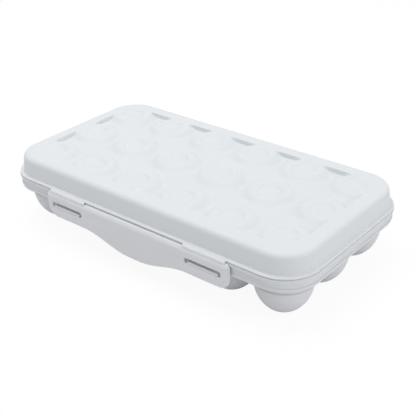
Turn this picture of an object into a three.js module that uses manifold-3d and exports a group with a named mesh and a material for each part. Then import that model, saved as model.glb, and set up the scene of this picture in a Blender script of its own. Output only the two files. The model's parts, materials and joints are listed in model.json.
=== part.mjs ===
// Egg storage box: a base with eighteen egg cups, a lid hinged at the back, and a latch flap in front.
// Millimetres, +Z up. X runs along the box, and the latch flap faces -Y.
// The origin is on the surface that the cups stand on, below the middle of the whole box.
import * as THREE from 'three';
import { mergeVertices } from 'three/addons/utils/BufferGeometryUtils.js';
import Module from 'manifold-3d';

const wasm = await Module();
wasm.setup();

// Egg grid
const COLUMNS = 6;
const ROWS = 3;
const PITCH_LONG = 50;
const PITCH_CROSS = 50.5;

// Gap between parts that seat on each other, and the overrun of every cut
const FIT_GAP = 0.3;
const OVERRUN = 1;

// Base: deck, cups, rim and skirt
const RIM_HEIGHT = 46.5;
const END_MARGIN = 7.5;
const SIDE_MARGIN = 8.75;
const CORNER_RELIEF = 1.25;
const DECK_DROP = 2;
const DECK_THICKNESS = 1.6;
const CUP_SPACING = 1.2;
const CUP_TAPER = 0.4;
const CUP_BOWL_DEPTH = 30;
const CUP_FOOT_RADIUS = 5;
const CUP_WALL = 1.5;
const RIM_CHAMFER = 0.5;
const RIM_WALL = 1.8;
const FLANGE_DEPTH = 2.3;
const FLANGE_UNDERCUT = 0.4;
const BAND_INSET = 0.7;
const BAND_DEPTH = 5.3;
const BAND_DRAFT_RUN = 1;
const BEAD_INSET = 1.2;
const BEAD_CHAMFER = 0.3;
const BEAD_DEPTH = 2.6;
const SKIRT_WALL = 1.8;

// Lid: flange, drafted wall, relief of round pads on the top
const LID_HEIGHT = 18.5;
const LID_WALL = 1.6;
const LID_EDGE_CHAMFER = 0.3;
const LID_EDGE_HEIGHT = 1.3;
const LID_EDGE_ROUND = 0.5;
const LID_SHOULDER_HEIGHT = 3;
const LID_SHOULDER_WIDTH = 3.3;
const LID_DRAFT_RUN = 2.2;
const LID_FILLET = 5;
const RELIEF_DEPTH = 4;
const BORDER_REACH = 14.8;
const BORDER_DRAFT_RUN = 0.8;
const PAD_SPACING = 1.4;
const PAD_SLOPE_RUN = 7.5;
const DIMPLE_RADIUS = 11.5;
const DIMPLE_SLOPE_RUN = 2;
const DIMPLE_DEPTH = 1.2;

// Latch flap, its two slots, the film hinges above them and the catches behind them
const LATCH_SPREAD = 149.5;
const FLAP_END = 7;
const FLAP_HEIGHT = 23.7;
const FLAP_THICKNESS = 1.9;
const FLAP_CLEARANCE = 0.35;
const FLAP_BEVEL_DEPTH = 1.4;
const FLAP_BEVEL_WIDTH = 3.6;
const FLAP_TOP_CORNER = 4;
const FLAP_FOOT_CORNER = 9;
const GRIP_SPAN = 114;
const GRIP_DROP = 9.5;
const GRIP_ROUND_SHARE = 0.55;
const SLOT_LENGTH = 36;
const SLOT_HEIGHT = 5;
const SLOT_DROP = 8.3;
const CATCH_END_GAP = 1.6;
const CATCH_TOP_GAP = 1.7;
const CATCH_RECESS = 0.3;
const WEB_OVERHANG = 2.85;
const WEB_RADIUS = 0.4;

// Back hinge: two lugs on the lid with stub pins, each between the ears of a socket on the base
const HINGE_SPREAD = 170;
const HINGE_REACH = 4;
const LUG_LENGTH = 20;
const LUG_RADIUS = 2.5;
const LUG_ARM_HEIGHT = 2.2;
const STUB_RADIUS = 1.2;
const STUB_LENGTH = 2.6;
const EAR_THICKNESS = 3;
const EAR_RADIUS = 2.7;
const EAR_BORE_GAP = 0.4;
const SOCKET_PLATE = 1.1;
const SOCKET_DEPTH = 7;

// Facets
const CORNER_STEPS = 4;
const CUP_SIDES = 16;
const CUP_BOWL_STEPS = 5;
const PAD_SIDES = 16;
const FILLET_STEPS = 3;
const FLAP_STEPS = 3;
const BEVEL_STEPS = 2;
const PIN_SIDES = 16;
const SLOT_STEPS = 3;

// Sizes worked out from the ones above
const DECK_LENGTH = COLUMNS * PITCH_LONG;
const DECK_WIDTH = ROWS * PITCH_CROSS;
const DECK_CORNER = PITCH_LONG / 2 - CORNER_RELIEF;
const RIM_LENGTH = DECK_LENGTH + 2 * END_MARGIN;
const RIM_WIDTH = DECK_WIDTH + 2 * SIDE_MARGIN;
const RIM_CORNER = DECK_CORNER + SIDE_MARGIN;
const SMALLEST_PITCH = Math.min(PITCH_LONG, PITCH_CROSS);
const CUP_RADIUS = (SMALLEST_PITCH - CUP_SPACING) / 2;
const LID_TOP = RIM_HEIGHT + LID_HEIGHT;
const LID_FOOT = RIM_HEIGHT + FIT_GAP;
const PAD_FOOT_RADIUS = (SMALLEST_PITCH - PAD_SPACING) / 2;
const FIELD_REACH = BORDER_REACH + 2 * LID_WALL;
const FLAP_TOP = RIM_HEIGHT - FIT_GAP;
const FLAP_LENGTH = LATCH_SPREAD + SLOT_LENGTH + 2 * FLAP_END;
const WEB_LENGTH = SLOT_LENGTH + 2 * WEB_OVERHANG;
const FLAP_BACK = -RIM_WIDTH / 2 - FLAP_CLEARANCE;
const SKIRT_FOOT = RIM_HEIGHT - FLANGE_DEPTH - FLANGE_UNDERCUT - BAND_DEPTH - BEAD_CHAMFER - BEAD_DEPTH;
const LID_HINGE_Y = RIM_WIDTH / 2 + HINGE_REACH;
const LID_HINGE_Z = RIM_HEIGHT;
const FLAP_HINGE_Y = -RIM_WIDTH / 2 - FIT_GAP - WEB_RADIUS;
const FLAP_HINGE_Z = FLAP_TOP + FIT_GAP + WEB_RADIUS;
const FRONT_REACH = FLAP_CLEARANCE + FLAP_THICKNESS;
const BACK_REACH = HINGE_REACH + EAR_RADIUS;

// Closed geometry to solid: vertices merged, flat triangles dropped, faces turned outwards
function solidOf(geometry) {
  geometry.deleteAttribute('normal');
  geometry.deleteAttribute('uv');
  const merged = mergeVertices(geometry);
  const points = merged.attributes.position;
  const index = merged.index.array;
  const corners = [];
  let volume = 0;
  const a = new THREE.Vector3();
  const b = new THREE.Vector3();
  const c = new THREE.Vector3();
  for (let i = 0; i < index.length; i += 3) {
    const [p, q, r] = [index[i], index[i + 1], index[i + 2]];
    if (p === q || q === r || r === p) continue;
    a.fromBufferAttribute(points, p);
    b.fromBufferAttribute(points, q);
    c.fromBufferAttribute(points, r);
    volume += a.dot(b.cross(c));
    corners.push(p, q, r);
  }
  if (volume < 0) corners.reverse();
  const vertProperties = new Float32Array(points.array);
  const triVerts = new Uint32Array(corners);
  return new wasm.Manifold(new wasm.Mesh({ numProp: 3, vertProperties, triVerts }));
}

function geometryOf(solid) {
  const mesh = solid.getMesh();
  const geometry = new THREE.BufferGeometry();
  geometry.setAttribute('position', new THREE.BufferAttribute(mesh.vertProperties, 3));
  geometry.setIndex(new THREE.BufferAttribute(mesh.triVerts, 1));
  return geometry;
}

function rectangle(length, width, corner) {
  const x = length / 2;
  const y = width / 2;
  const shape = new THREE.Shape();
  shape.absarc(x - corner, corner - y, corner, -Math.PI / 2, 0);
  shape.absarc(x - corner, y - corner, corner, 0, Math.PI / 2);
  shape.absarc(corner - x, y - corner, corner, Math.PI / 2, Math.PI);
  shape.absarc(corner - x, corner - y, corner, Math.PI, Math.PI * 1.5);
  return shape;
}

// Solid through round-cornered rectangles stacked from the bottom up, each with its own height
function stack(levels) {
  const rings = levels.map(({ length, width, corner, height }) => (
    rectangle(length, width, corner).getPoints(CORNER_STEPS).map((p) => [p.x, p.y, height])
  ));
  const count = rings[0].length;
  const index = [];
  for (let level = 0; level < rings.length - 1; level += 1) {
    for (let i = 0; i < count; i += 1) {
      const here = level * count + i;
      const next = level * count + ((i + 1) % count);
      index.push(here, next, next + count, here, next + count, here + count);
    }
  }
  const last = (rings.length - 1) * count;
  for (let i = 1; i < count - 1; i += 1) {
    index.push(0, i + 1, i, last, last + i, last + i + 1);
  }
  const geometry = new THREE.BufferGeometry();
  geometry.setAttribute('position', new THREE.Float32BufferAttribute(rings.flat(2), 3));
  geometry.setIndex(index);
  return solidOf(geometry);
}

// Stack whose levels are set in from the rim's outline
function rimStack(profile) {
  return stack(profile.map(([inset, height]) => ({
    length: RIM_LENGTH - 2 * inset,
    width: RIM_WIDTH - 2 * inset,
    corner: RIM_CORNER - inset,
    height,
  })));
}

// Stack with the deck's outline let out on every side
function deckPrism(outset, bottom, top) {
  const size = {
    length: DECK_LENGTH + 2 * outset,
    width: DECK_WIDTH + 2 * outset,
    corner: DECK_CORNER + outset,
  };
  return stack([{ ...size, height: bottom }, { ...size, height: top }]);
}

function turned(profile, sides) {
  const points = profile.map(([radius, height]) => new THREE.Vector2(radius, height));
  const geometry = new THREE.LatheGeometry(points, sides);
  geometry.rotateX(Math.PI / 2);
  return solidOf(geometry);
}

function block(low, high) {
  const geometry = new THREE.BoxGeometry(high[0] - low[0], high[1] - low[1], high[2] - low[2]);
  geometry.translate((high[0] + low[0]) / 2, (high[1] + low[1]) / 2, (high[2] + low[2]) / 2);
  return solidOf(geometry);
}

// Round bar along X
function bar(radius, x0, x1, y, z) {
  const geometry = new THREE.CylinderGeometry(radius, radius, x1 - x0, PIN_SIDES);
  geometry.rotateZ(Math.PI / 2);
  geometry.translate((x0 + x1) / 2, y, z);
  return solidOf(geometry);
}

// Upright plate from an outline in X and Z, its back at y = 0 and its front towards -Y
function uprightPlate(shape, options) {
  const geometry = new THREE.ExtrudeGeometry(shape, options);
  geometry.rotateX(Math.PI / 2);
  return solidOf(geometry);
}

function cellCentre(column, row) {
  const x = (column - (COLUMNS - 1) / 2) * PITCH_LONG;
  const y = (row - (ROWS - 1) / 2) * PITCH_CROSS;
  return [x, y];
}

function cellName(column, row) {
  return `${'abcdefgh'[row]}${column + 1}`;
}

function eachCell(visit) {
  for (let row = 0; row < ROWS; row += 1) {
    for (let column = 0; column < COLUMNS; column += 1) {
      visit(column, row);
    }
  }
}

// Base rim: a flange over a drafted band with a bead along its foot, hollow below, open round the deck
function makeRim() {
  const bandTop = RIM_HEIGHT - FLANGE_DEPTH - FLANGE_UNDERCUT;
  const bandFoot = bandTop - BAND_DEPTH;
  const body = rimStack([
    [BEAD_INSET, SKIRT_FOOT],
    [BEAD_INSET, bandFoot - BEAD_CHAMFER],
    [BAND_INSET + BAND_DRAFT_RUN, bandFoot],
    [BAND_INSET, bandTop],
    [0, RIM_HEIGHT - FLANGE_DEPTH],
    [0, RIM_HEIGHT - RIM_CHAMFER],
    [RIM_CHAMFER, RIM_HEIGHT],
  ]);
  const deckFoot = RIM_HEIGHT - DECK_DROP - DECK_THICKNESS;
  const inset = BEAD_INSET + SKIRT_WALL;
  const inside = rimStack([[inset, SKIRT_FOOT - OVERRUN], [inset, RIM_HEIGHT - RIM_WALL]]);
  const collar = deckPrism(RIM_WALL, deckFoot, RIM_HEIGHT);
  const mouth = deckPrism(0, SKIRT_FOOT - OVERRUN, RIM_HEIGHT + OVERRUN);
  return body.subtract(inside.subtract(collar)).subtract(mouth);
}

// A cup's bowl: an upright half ellipse with a flat foot, set in by a wall thickness for the inside
function cupProfile(wall) {
  const belly = CUP_RADIUS - CUP_TAPER;
  const lowest = Math.acos(CUP_FOOT_RADIUS / belly);
  const centre = CUP_BOWL_DEPTH * Math.sin(lowest);
  const profile = [];
  for (let i = 0; i <= CUP_BOWL_STEPS; i += 1) {
    const angle = lowest - (lowest * i) / CUP_BOWL_STEPS;
    const radius = (belly - wall) * Math.cos(angle);
    profile.push([radius, centre - (CUP_BOWL_DEPTH - wall) * Math.sin(angle)]);
  }
  return profile;
}

// One cell of the deck with its cup; the cells at the deck's corners have one round corner
function makeCell(sideX, sideY) {
  const x = PITCH_LONG / 2;
  const y = PITCH_CROSS / 2;
  const corner = DECK_CORNER + CORNER_RELIEF;
  const outline = new THREE.Shape();
  outline.moveTo(-x, y);
  outline.lineTo(-x, -y);
  outline.lineTo(x, -y);
  if (sideX && sideY) {
    outline.absarc(x - corner, y - corner, corner, 0, Math.PI / 2);
  } else {
    outline.lineTo(x, y);
  }
  const points = outline.getPoints(CORNER_STEPS);
  points.forEach((p) => p.multiply(new THREE.Vector2(sideX || 1, sideY || 1)));
  const plate = new THREE.ExtrudeGeometry(new THREE.Shape(points), {
    depth: DECK_THICKNESS, bevelEnabled: false,
  });
  const deckTop = RIM_HEIGHT - DECK_DROP;
  plate.translate(0, 0, deckTop - DECK_THICKNESS);
  const outer = cupProfile(0);
  const root = deckTop - DECK_THICKNESS / 2;
  const bowl = turned([[0, 0], ...outer, [CUP_RADIUS, root], [0, root]], CUP_SIDES);
  const inner = cupProfile(CUP_WALL);
  const top = deckTop + OVERRUN;
  const hollow = turned([[0, inner[0][1]], ...inner, [CUP_RADIUS - CUP_WALL, top], [0, top]], CUP_SIDES);
  return solidOf(plate).add(bowl).subtract(hollow);
}

// Catch bar: stands out from the bead, through the flap's slot
function makeCatch() {
  const slotFoot = FLAP_TOP - SLOT_DROP - SLOT_HEIGHT;
  const reach = SLOT_LENGTH / 2 - CATCH_END_GAP;
  const low = [-reach, FLAP_BACK - FLAP_THICKNESS + CATCH_RECESS, slotFoot + FIT_GAP];
  const high = [reach, BEAD_INSET - RIM_WIDTH / 2, slotFoot + SLOT_HEIGHT - CATCH_TOP_GAP];
  return block(low, high);
}

// Socket of the back hinge: a plate on the rim's flange with two bored ears
function makeSocket() {
  const back = RIM_WIDTH / 2;
  const inner = LUG_LENGTH / 2 + FIT_GAP;
  const outer = inner + EAR_THICKNESS;
  const top = RIM_HEIGHT - RIM_CHAMFER;
  let socket = block([-outer, back, RIM_HEIGHT - SOCKET_DEPTH], [outer, back + SOCKET_PLATE, top]);
  for (const [x0, x1] of [[-outer, -inner], [inner, outer]]) {
    const arm = block([x0, back, RIM_HEIGHT - EAR_RADIUS], [x1, LID_HINGE_Y, top]);
    const eye = bar(EAR_RADIUS, x0, x1, LID_HINGE_Y, LID_HINGE_Z);
    const bore = bar(STUB_RADIUS + EAR_BORE_GAP, x0 - OVERRUN, x1 + OVERRUN, LID_HINGE_Y, LID_HINGE_Z);
    socket = socket.add(arm).add(eye).subtract(bore);
  }
  return socket;
}

// Lug of the back hinge: an arm from the lid's flange to a barrel with a stub pin at each end
function makeLug() {
  const half = LUG_LENGTH / 2;
  const barrel = bar(LUG_RADIUS, -half, half, LID_HINGE_Y, LID_HINGE_Z);
  const pin = bar(STUB_RADIUS, -half - STUB_LENGTH, half + STUB_LENGTH, LID_HINGE_Y, LID_HINGE_Z);
  const arm = block([-half, RIM_WIDTH / 2, LID_FOOT], [half, LID_HINGE_Y, LID_FOOT + LUG_ARM_HEIGHT]);
  return barrel.add(pin).add(arm);
}

// The lid's wall and the round above it, set in by a wall thickness for the inside
function wallProfile(wall) {
  const run = LID_DRAFT_RUN;
  const rise = LID_HEIGHT - LID_SHOULDER_HEIGHT;
  const draft = Math.atan(run / rise);
  const turn = Math.PI / 2 - draft;
  const radius = LID_FILLET - wall;
  const tangent = LID_FILLET * Math.tan(turn / 2);
  const centre = [LID_SHOULDER_WIDTH + run + tangent, LID_TOP - LID_FILLET];
  const profile = [];
  for (let i = 0; i <= FILLET_STEPS; i += 1) {
    const angle = draft + (turn * i) / FILLET_STEPS;
    profile.push([centre[0] - radius * Math.cos(angle), centre[1] + radius * Math.sin(angle)]);
  }
  return profile;
}

// Level of a stack whose outline keeps a distance from the middles of the outer cells
function fieldLevel(reach, height) {
  return {
    length: (COLUMNS - 1) * PITCH_LONG + 2 * reach,
    width: (ROWS - 1) * PITCH_CROSS + 2 * reach,
    corner: reach,
    height,
  };
}

// What is cut from the lid's top between its round pads, let out by a wall thickness for the inside
function reliefHollow(outset) {
  const floor = LID_TOP - RELIEF_DEPTH - outset;
  const reach = BORDER_REACH + outset;
  const above = LID_TOP + OVERRUN;
  let hollow = stack([
    fieldLevel(reach - BORDER_DRAFT_RUN, floor),
    fieldLevel(reach, LID_TOP),
    fieldLevel(reach, above),
  ]);
  const foot = PAD_FOOT_RADIUS - outset;
  const crest = foot - PAD_SLOPE_RUN;
  const crown = LID_TOP - outset;
  const beneath = floor - OVERRUN;
  const dimple = DIMPLE_RADIUS + outset;
  const pan = crown - DIMPLE_DEPTH;
  const pad = turned([
    [0, beneath],
    [foot, beneath],
    [foot, floor],
    [crest, crown],
    [crest, above + OVERRUN],
    [0, above + OVERRUN],
  ], PAD_SIDES);
  const pit = turned([
    [0, pan],
    [dimple - DIMPLE_SLOPE_RUN, pan],
    [dimple, crown],
    [dimple, above],
    [0, above],
  ], PAD_SIDES);
  eachCell((column, row) => {
    const [x, y] = cellCentre(column, row);
    hollow = hollow.subtract(pad.translate(x, y, 0));
  });
  eachCell((column, row) => {
    const [x, y] = cellCentre(column, row);
    hollow = hollow.add(pit.translate(x, y, 0));
  });
  return hollow;
}

// The whole lid: its rim, and the field of pads that fills its top
function makeLid() {
  const shoulder = RIM_HEIGHT + LID_SHOULDER_HEIGHT;
  const edge = RIM_HEIGHT + LID_EDGE_HEIGHT;
  const body = rimStack([
    [LID_EDGE_CHAMFER, LID_FOOT],
    [0, LID_FOOT + LID_EDGE_CHAMFER],
    [0, edge],
    [LID_EDGE_ROUND, edge + LID_EDGE_ROUND],
    [LID_SHOULDER_WIDTH, shoulder],
    ...wallProfile(0),
  ]);
  const mouth = LID_SHOULDER_WIDTH + LID_WALL;
  const inside = rimStack([[mouth, LID_FOOT - OVERRUN], [mouth, shoulder], ...wallProfile(LID_WALL)]);
  return body.subtract(reliefHollow(0)).subtract(inside.subtract(reliefHollow(LID_WALL)));
}

// The lid's rim and border, and one round pad for each cell of the field within them
function splitLid() {
  const whole = makeLid();
  const field = stack([
    fieldLevel(FIELD_REACH, RIM_HEIGHT),
    fieldLevel(FIELD_REACH, LID_TOP + OVERRUN),
  ]);
  const top = whole.intersect(field);
  const outer = FIELD_REACH + OVERRUN;
  const pads = [];
  eachCell((column, row) => {
    const [x, y] = cellCentre(column, row);
    const left = column === 0 ? outer : PITCH_LONG / 2;
    const right = column === COLUMNS - 1 ? outer : PITCH_LONG / 2;
    const front = row === 0 ? outer : PITCH_CROSS / 2;
    const back = row === ROWS - 1 ? outer : PITCH_CROSS / 2;
    const cell = block([-left, -front, RIM_HEIGHT], [right, back, LID_TOP + OVERRUN]);
    pads.push({ column, row, solid: top.translate(-x, -y, 0).intersect(cell) });
  });
  return { rim: whole.subtract(field), pads };
}

// Flap outline in X and Z, its top edge at z = 0: a straight foot with a wave down to the finger grip
function flapOutline() {
  const x = FLAP_LENGTH / 2;
  const foot = -FLAP_HEIGHT;
  const span = GRIP_SPAN / 2;
  const turn = 2 * Math.atan(GRIP_DROP / span);
  const reach = span / Math.sin(turn);
  const grip = reach * GRIP_ROUND_SHARE;
  const flare = reach - grip;
  const up = Math.PI / 2;
  const shape = new THREE.Shape();
  shape.absarc(FLAP_FOOT_CORNER - x, foot + FLAP_FOOT_CORNER, FLAP_FOOT_CORNER, Math.PI, Math.PI * 1.5);
  shape.absarc(-span, foot - flare, flare, up, up - turn, true);
  shape.absarc(0, foot - GRIP_DROP + grip, grip, -up - turn, turn - up);
  shape.absarc(span, foot - flare, flare, up + turn, up, true);
  shape.absarc(x - FLAP_FOOT_CORNER, foot + FLAP_FOOT_CORNER, FLAP_FOOT_CORNER, -up, 0);
  shape.absarc(x - FLAP_TOP_CORNER, -FLAP_TOP_CORNER, FLAP_TOP_CORNER, 0, up);
  shape.absarc(FLAP_TOP_CORNER - x, -FLAP_TOP_CORNER, FLAP_TOP_CORNER, up, Math.PI);
  return shape;
}

function slotOutline() {
  const radius = SLOT_HEIGHT / 2;
  const x = SLOT_LENGTH / 2 - radius;
  const shape = new THREE.Shape();
  shape.absarc(x, 0, radius, -Math.PI / 2, Math.PI / 2);
  shape.absarc(-x, 0, radius, Math.PI / 2, Math.PI * 1.5);
  return shape;
}

function makeFlap() {
  const plate = uprightPlate(flapOutline(), {
    depth: FLAP_THICKNESS - FLAP_BEVEL_DEPTH,
    bevelThickness: FLAP_BEVEL_DEPTH,
    bevelSize: FLAP_BEVEL_WIDTH,
    bevelOffset: -FLAP_BEVEL_WIDTH,
    bevelSegments: BEVEL_STEPS,
    curveSegments: FLAP_STEPS,
  });
  const reach = FLAP_LENGTH / 2 + OVERRUN;
  const foot = -FLAP_HEIGHT - GRIP_DROP - OVERRUN;
  const behind = block([-reach, 0, foot], [reach, FLAP_BEVEL_DEPTH + OVERRUN, OVERRUN]);
  const slot = uprightPlate(slotOutline(), {
    depth: FLAP_THICKNESS + 2 * OVERRUN, bevelEnabled: false, curveSegments: SLOT_STEPS,
  });
  let flap = plate.subtract(behind);
  for (const side of [-1, 1]) {
    const x = (side * LATCH_SPREAD) / 2;
    flap = flap.subtract(slot.translate(x, OVERRUN, -SLOT_DROP - SLOT_HEIGHT / 2));
  }
  return flap;
}

// Film hinge between lid and flap: a thin bead on the line that the flap turns about
function makeWeb() {
  return bar(WEB_RADIUS, -WEB_LENGTH / 2, WEB_LENGTH / 2, FLAP_HINGE_Y, FLAP_HINGE_Z);
}

const box = new THREE.Group();
box.position.y = (FRONT_REACH - BACK_REACH) / 2;

function place(name, solid, colour, roughness, position) {
  const material = new THREE.MeshStandardMaterial({ color: colour, roughness, metalness: 0 });
  const mesh = new THREE.Mesh(geometryOf(solid), material);
  mesh.name = name;
  mesh.position.set(...position);
  box.add(mesh);
}

const BASE_COLOUR = 0xdfe1e5;
const LID_COLOUR = 0xe7eaed;
const FLAP_COLOUR = 0xdcdee2;
const MATTE = 0.5;
const SATIN = 0.42;

place('base_rim', makeRim(), BASE_COLOUR, MATTE, [0, 0, 0]);
eachCell((column, row) => {
  const sideX = column === 0 ? -1 : Number(column === COLUMNS - 1);
  const sideY = row === 0 ? -1 : Number(row === ROWS - 1);
  const solid = makeCell(sideX, sideY);
  place(`egg_cup_${cellName(column, row)}`, solid, BASE_COLOUR, MATTE, [...cellCentre(column, row), 0]);
});
const lid = splitLid();
place('lid_shell', lid.rim, LID_COLOUR, SATIN, [0, 0, 0]);
for (const { column, row, solid } of lid.pads) {
  place(`lid_pad_${cellName(column, row)}`, solid, LID_COLOUR, SATIN, [...cellCentre(column, row), 0]);
}
place('latch_flap', makeFlap(), FLAP_COLOUR, SATIN, [0, FLAP_BACK, FLAP_TOP]);
for (const [side, x] of [['left', -1], ['right', 1]]) {
  const latch = (x * LATCH_SPREAD) / 2;
  const hinge = (x * HINGE_SPREAD) / 2;
  place(`catch_${side}`, makeCatch(), BASE_COLOUR, MATTE, [latch, 0, 0]);
  place(`flap_hinge_web_${side}`, makeWeb(), FLAP_COLOUR, SATIN, [latch, 0, 0]);
  place(`hinge_socket_${side}`, makeSocket(), BASE_COLOUR, MATTE, [hinge, 0, 0]);
  place(`lid_hinge_lug_${side}`, makeLug(), LID_COLOUR, SATIN, [hinge, 0, 0]);
}

export default box;
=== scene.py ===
"""Looks of an egg storage box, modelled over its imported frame, in metres.

The box has a base with eighteen egg cups, a lid with round pads embossed in its top, a hinge at the
back, and a latch flap in front that hangs from the lid on two film hinges.
"""

import json
import logging
import math
from collections.abc import Callable, Iterator, Sequence
from contextlib import contextmanager
from dataclasses import dataclass
from enum import Enum
from itertools import pairwise

import bmesh
import bpy
from bmesh.types import BMEdge, BMFace, BMVert
from bpy.types import Node, NodeSocket, NodeTree, Object
from mathutils import Matrix, Vector

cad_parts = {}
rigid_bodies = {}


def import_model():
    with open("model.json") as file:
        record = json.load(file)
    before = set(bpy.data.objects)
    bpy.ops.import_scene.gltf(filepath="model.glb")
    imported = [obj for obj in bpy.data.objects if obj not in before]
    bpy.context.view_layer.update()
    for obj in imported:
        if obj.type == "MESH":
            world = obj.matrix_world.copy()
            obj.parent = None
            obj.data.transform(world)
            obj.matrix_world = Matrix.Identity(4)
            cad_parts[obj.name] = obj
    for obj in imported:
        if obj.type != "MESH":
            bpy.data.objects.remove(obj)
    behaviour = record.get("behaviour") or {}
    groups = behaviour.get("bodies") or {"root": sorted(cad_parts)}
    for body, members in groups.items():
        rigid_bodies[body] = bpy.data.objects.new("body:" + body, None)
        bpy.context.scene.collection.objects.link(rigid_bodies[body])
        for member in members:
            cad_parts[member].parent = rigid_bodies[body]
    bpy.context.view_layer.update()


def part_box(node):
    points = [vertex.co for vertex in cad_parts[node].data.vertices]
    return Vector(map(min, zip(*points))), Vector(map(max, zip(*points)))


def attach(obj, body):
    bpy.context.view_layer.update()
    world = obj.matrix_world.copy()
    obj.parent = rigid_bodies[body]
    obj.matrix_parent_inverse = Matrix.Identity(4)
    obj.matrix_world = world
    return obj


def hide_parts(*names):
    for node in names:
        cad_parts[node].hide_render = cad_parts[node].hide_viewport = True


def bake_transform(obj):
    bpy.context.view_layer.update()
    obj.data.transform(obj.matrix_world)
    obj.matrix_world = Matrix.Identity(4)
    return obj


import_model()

MM = 0.001
NEAR = 0.02 * MM
DOUBLED = 0.01 * MM
ON_PLANE = 0.001 * MM
CREASE_DEGREES = 32
END_FACING = 0.9
FACETS = 64
LOG = logging.getLogger("egg_box")

Point = tuple[float, float]
Profile = tuple[Point, ...]
Place = tuple[float, float, float]
Colour = tuple[float, float, float]
Element = BMVert | BMEdge | BMFace


class Body(Enum):
    """Bodies of the frame that the pieces ride on."""

    BASE = "base"
    LID = "lid"
    FLAP = "flap"


class Side(Enum):
    """The two halves of the box, as a sign along X."""

    LEFT = -1
    RIGHT = 1

    @property
    def label(self) -> str:
        """Word for the side in a piece's name."""
        return self.name.lower()


class Select(Enum):
    """Kinds of mesh element to select, each with its list in a mesh."""

    VERT = "verts"
    EDGE = "edges"
    FACE = "faces"

    def where(self, test: Callable[[Element], bool]) -> None:
        """Select the elements of the mesh in edit mode that pass a test, and no others.

        Args:
            test: Says whether an element is selected.
        """
        bpy.ops.mesh.select_mode(type=self.name)
        bpy.ops.mesh.select_all(action="DESELECT")
        mesh = bmesh.from_edit_mesh(bpy.context.edit_object.data)
        for element in getattr(mesh, self.value):
            if test(element):
                element.select = True
        mesh.select_flush_mode()
        bmesh.update_edit_mesh(bpy.context.edit_object.data)


# Modelling tools


def activate(*objects: Object) -> None:
    """Select some objects and no others, and make the first one active.

    Args:
        objects: What the next operators act on; with none, nothing stays selected.
    """
    if bpy.context.object and bpy.context.object.mode != "OBJECT":
        bpy.ops.object.mode_set(mode="OBJECT")
    for obj in bpy.context.view_layer.objects:
        if not obj.hide_get() and not obj.hide_viewport:
            obj.select_set(False)
    for obj in objects:
        obj.select_set(True)
    if objects:
        bpy.context.view_layer.objects.active = objects[0]


@contextmanager
def editing(obj: Object) -> Iterator[None]:
    """Edit mode on one object, with all of its mesh selected.

    Args:
        obj: The piece to edit.
    """
    activate(obj)
    bpy.ops.object.mode_set(mode="EDIT")
    bpy.ops.mesh.select_mode(type="VERT")
    bpy.ops.mesh.select_all(action="SELECT")
    yield
    bpy.ops.object.mode_set(mode="OBJECT")


def add_shape(
    operator: Callable[..., set[str]], place: Place = (0, 0, 0), **sizes: object
) -> Object:
    """Add one of Blender's own shapes.

    Args:
        operator: The operator that adds it.
        place: Where its middle is.
        sizes: The operator's other values by name.

    Returns:
        The new object.
    """
    activate()
    operator(location=place, **sizes)
    return bpy.context.object


def merge_and_orient() -> None:
    """Merge doubled vertices of the mesh in edit mode and turn its faces outwards."""
    bpy.ops.mesh.select_all(action="SELECT")
    bpy.ops.mesh.remove_doubles(threshold=DOUBLED)
    bpy.ops.mesh.normals_make_consistent(inside=False)


def trim_to_rectangle(x: float, y: float, centre_y: float) -> None:
    """Cut the mesh in edit mode with four upright planes and keep what is between them.

    Args:
        x: Distance of two planes from the middle, along X.
        y: Distance of the other two from the middle, along Y.
        centre_y: Place of the middle along Y.
    """
    for across, along in ((1, 0), (-1, 0), (0, 1), (0, -1)):
        bpy.ops.mesh.select_all(action="SELECT")
        bpy.ops.mesh.bisect(
            plane_co=(across * x, centre_y + along * y, 0), plane_no=(across, along, 0),
            clear_outer=True, threshold=ON_PLANE,
        )


def bevel_ends(offset: float) -> None:
    """Round the edges of the two ends along X of the mesh in edit mode, as far as an offset."""
    Select.FACE.where(lambda f: abs(f.normal.x) > END_FACING)
    bpy.ops.mesh.bevel(offset=offset, segments=2, affect="EDGES")


def draw_chain(points: Sequence[Vector]) -> Object:
    """Draw a chain of edges by extruding one vertex from point to point.

    Args:
        points: Places of the chain's vertices, in metres.

    Returns:
        The object that holds the chain.
    """
    obj = add_shape(bpy.ops.mesh.primitive_plane_add, size=MM)
    with editing(obj):
        bpy.ops.mesh.merge(type="CENTER")
        bpy.ops.transform.translate(value=points[0])
        for here, there in pairwise(points):
            bpy.ops.mesh.extrude_region_move(TRANSFORM_OT_translate={"value": there - here})
    return obj


def join_pieces(*pieces: Object) -> Object:
    """Join several objects into the first one.

    Args:
        pieces: The objects to join.

    Returns:
        The first object, which now holds every mesh.
    """
    activate(*pieces)
    bpy.ops.object.join()
    return pieces[0]


def close_between(levels: Point, *rings: Object) -> Object:
    """Join open rings into one solid, by filling between their open edges at two levels.

    Args:
        levels: The two heights.
        rings: The rings to join.

    Returns:
        The first ring, which is now the solid.
    """
    solid = join_pieces(*rings)
    with editing(solid):
        for level in levels:
            Select.EDGE.where(
                lambda e: e.is_boundary and all(abs(v.co.z - level) < NEAR for v in e.verts)
            )
            bpy.ops.mesh.fill(use_beauty=True)
        merge_and_orient()
    return solid


def apply_modifier(obj: Object, kind: str, **settings: object) -> None:
    """Add a modifier with its settings and apply it.

    Args:
        obj: The piece to change.
        kind: The modifier's type.
        settings: The modifier's values by name.
    """
    activate(obj)
    modifier = obj.modifiers.new(kind.title(), kind)
    for key, value in settings.items():
        setattr(modifier, key, value)
    bpy.ops.object.modifier_apply(modifier=modifier.name)


class Combine(Enum):
    """What a second solid does to a piece."""

    CUT = "DIFFERENCE"
    WELD = "UNION"

    def apply(self, obj: Object, other: Object) -> None:
        """Cut a piece with another solid, or weld the other onto it, and remove the other."""
        apply_modifier(obj, "BOOLEAN", object=other, operation=self.value, solver="EXACT")
        bpy.data.objects.remove(other)


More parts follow.
